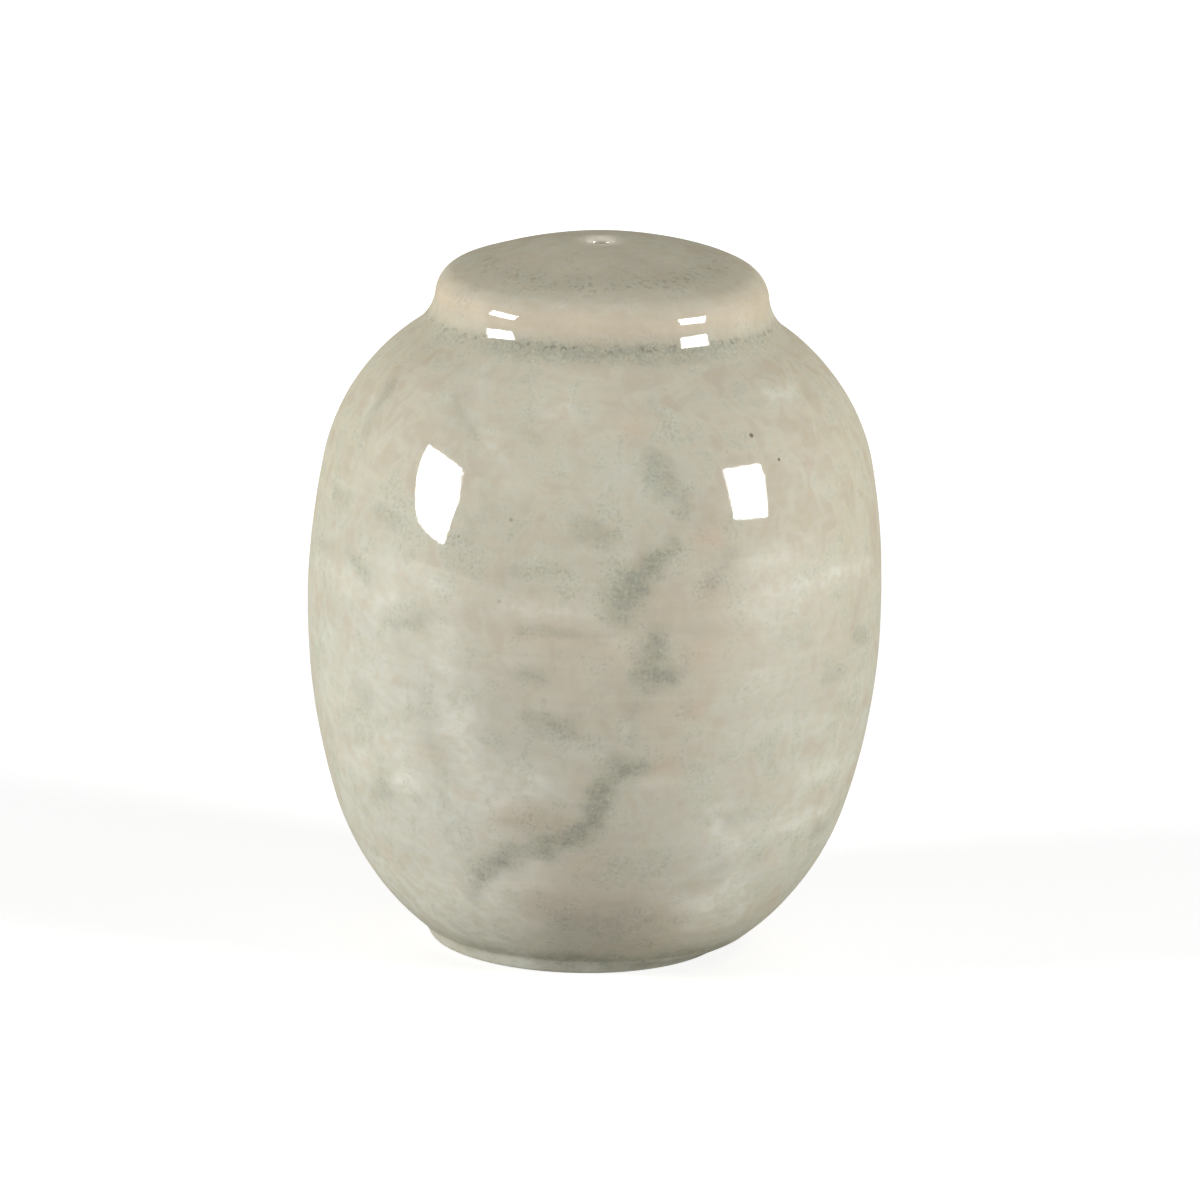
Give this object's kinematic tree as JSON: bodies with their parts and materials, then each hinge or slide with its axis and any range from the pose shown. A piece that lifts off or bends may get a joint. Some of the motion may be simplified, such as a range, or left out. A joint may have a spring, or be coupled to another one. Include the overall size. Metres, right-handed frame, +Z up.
{
  "type": "pepper shaker",
  "caption": "Egg-shaped glazed stoneware pepper shaker with a flattened cap, a pour hole in its top and a soft stopper in its base.",
  "frame": {"origin": "on the shaker's axis, in the plane that its foot stands on", "axes": "+Z up along the shaker's axis, towards the pour hole; -Y towards the viewer of the picture; +X along the stopper's lifting tab"},
  "size_m": [0.06, 0.06, 0.075],
  "materials": {
    "glazed_stoneware": "gloss, mottled grey-beige reactive glaze",
    "silicone": "satin, off-white silicone"
  },
  "bodies": {
    "shaker": {"stoneware_body": "glazed_stoneware"},
    "stopper": {"silicone_stopper": "silicone"}
  },
  "joints": [
    {"name": "stopper_pull", "type": "slide", "parent": "shaker", "child": "stopper", "axis": [0, 0, -1], "range_m": [0, 0.024]}
  ]
}
